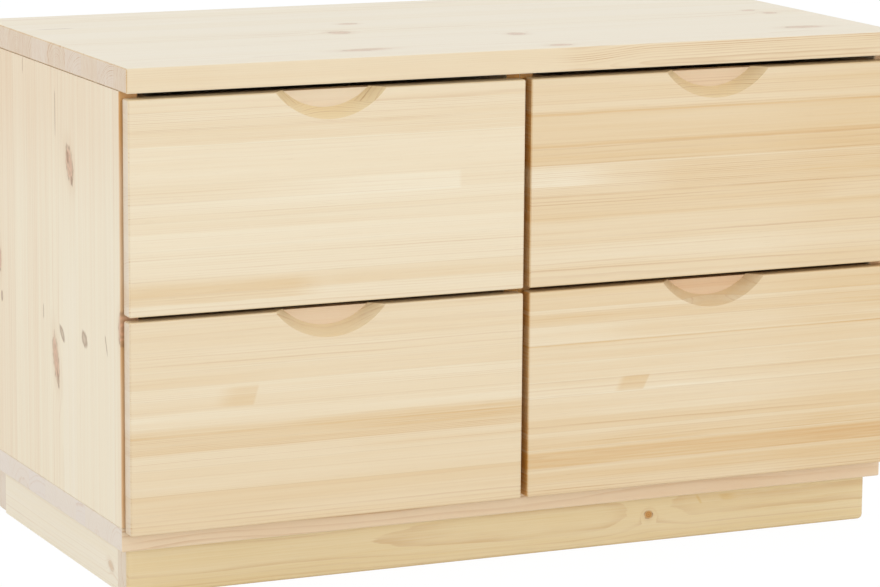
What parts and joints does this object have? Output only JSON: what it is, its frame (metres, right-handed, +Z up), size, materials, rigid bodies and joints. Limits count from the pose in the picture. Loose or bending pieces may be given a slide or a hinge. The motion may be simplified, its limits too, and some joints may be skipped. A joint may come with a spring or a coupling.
{
  "type": "chest of drawers",
  "caption": "Low free-standing pine chest of drawers with overlay fronts, bevelled half-moon finger pulls and a recessed plinth.",
  "frame": {"origin": "on the floor, under the middle of the unit's box", "axes": "+X along the width, to the right of someone facing the fronts; the drawers open towards -Y; +Z up"},
  "size_m": [0.8, 0.41, 0.494],
  "materials": {
    "pine_boards": "sanded, untreated",
    "pine_fronts": "sanded, untreated",
    "pine_boxes": "planed, untreated",
    "plywood": "sanded, untreated",
    "beech": "planed, waxed",
    "steel": "zinc plated fasteners"
  },
  "bodies": {
    "carcass": {"top_panel": "pine_boards", "bottom_panel": "pine_boards", "left_side_panel": "pine_boards", "right_side_panel": "pine_boards", "divider_left_board": "pine_boards", "divider_right_board": "pine_boards", "back_panel": "plywood", "plinth_front_board": "pine_boards", "plinth_back_board": "pine_boards", "plinth_left_board": "pine_boards", "plinth_right_board": "pine_boards", "plinth_corner_blocks": "pine_boards", "carcass_dowels": "beech", "lower_left_side_runner": "beech", "lower_left_divider_runner": "beech", "lower_right_side_runner": "beech", "lower_right_divider_runner": "beech", "upper_left_side_runner": "beech", "upper_left_divider_runner": "beech", "upper_right_side_runner": "beech", "upper_right_divider_runner": "beech"},
    "lower_left_drawer": {"lower_left_front": "pine_fronts", "lower_left_box_front": "pine_boxes", "lower_left_box_back": "pine_boxes", "lower_left_box_left_side": "pine_boxes", "lower_left_box_right_side": "pine_boxes", "lower_left_box_floor": "plywood"},
    "lower_right_drawer": {"lower_right_front": "pine_fronts", "lower_right_box_front": "pine_boxes", "lower_right_box_back": "pine_boxes", "lower_right_box_left_side": "pine_boxes", "lower_right_box_right_side": "pine_boxes", "lower_right_box_floor": "plywood"},
    "upper_left_drawer": {"upper_left_front": "pine_fronts", "upper_left_box_front": "pine_boxes", "upper_left_box_back": "pine_boxes", "upper_left_box_left_side": "pine_boxes", "upper_left_box_right_side": "pine_boxes", "upper_left_box_floor": "plywood"},
    "upper_right_drawer": {"upper_right_front": "pine_fronts", "upper_right_box_front": "pine_boxes", "upper_right_box_back": "pine_boxes", "upper_right_box_left_side": "pine_boxes", "upper_right_box_right_side": "pine_boxes", "upper_right_box_floor": "plywood"}
  },
  "joints": [
    {"name": "lower_left_drawer_slide", "type": "slide", "parent": "carcass", "child": "lower_left_drawer", "axis": [0, -1, 0], "range_m": [0, 0.25]},
    {"name": "lower_right_drawer_slide", "type": "slide", "parent": "carcass", "child": "lower_right_drawer", "axis": [0, -1, 0], "range_m": [0, 0.25]},
    {"name": "upper_left_drawer_slide", "type": "slide", "parent": "carcass", "child": "upper_left_drawer", "axis": [0, -1, 0], "range_m": [0, 0.25]},
    {"name": "upper_right_drawer_slide", "type": "slide", "parent": "carcass", "child": "upper_right_drawer", "axis": [0, -1, 0], "range_m": [0, 0.25]}
  ]
}
